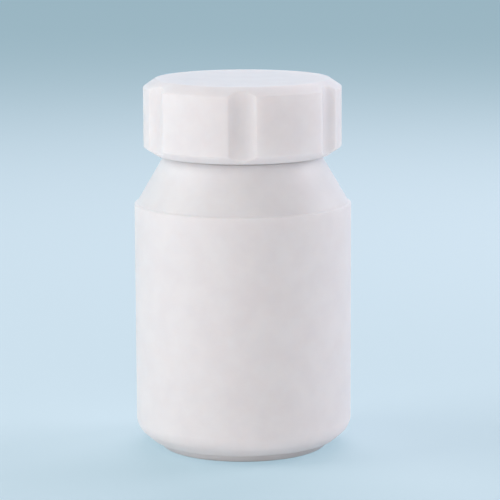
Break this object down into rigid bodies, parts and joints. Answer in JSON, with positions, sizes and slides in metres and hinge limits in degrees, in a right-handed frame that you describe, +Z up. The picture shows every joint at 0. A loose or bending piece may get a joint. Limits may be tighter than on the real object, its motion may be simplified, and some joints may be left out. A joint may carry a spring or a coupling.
{
  "type": "wide-mouth reagent bottle",
  "caption": "White fluoropolymer wide-mouth reagent bottle: straight round body, conical shoulder, foot ring and a fluted screw cap that unscrews and rises on a coarse thread.",
  "frame": {"origin": "centre of the foot ring on the surface that the bottle stands on", "axes": "+Z up along the bottle's axis; one flute of the cap faces -Y, the front"},
  "size_m": [0.056, 0.056, 0.0959],
  "materials": {
    "bottle_body": "turned white fluoropolymer, waxy satin",
    "screw_cap": "turned white fluoropolymer, waxy satin",
    "sealing_disc": "skived white fluoropolymer sheet"
  },
  "bodies": {
    "bottle": {"bottle": "bottle_body"},
    "seal": {"seal_disc": "sealing_disc"},
    "cap": {"cap": "screw_cap"}
  },
  "joints": [
    {"name": "cap_rise", "type": "slide", "parent": "bottle", "child": "seal", "axis": [0, 0, 1], "range_m": [0, 0.014]},
    {"name": "cap_turn", "type": "hinge", "parent": "seal", "child": "cap", "pos_m": [0, 0, 0.0914], "axis": [0, 0, 1], "range_deg": [0, 1260]}
  ],
  "couplings": [
    {"joint": "cap_rise", "follows": "cap_turn", "m_per_rad": 0.00063662}
  ]
}
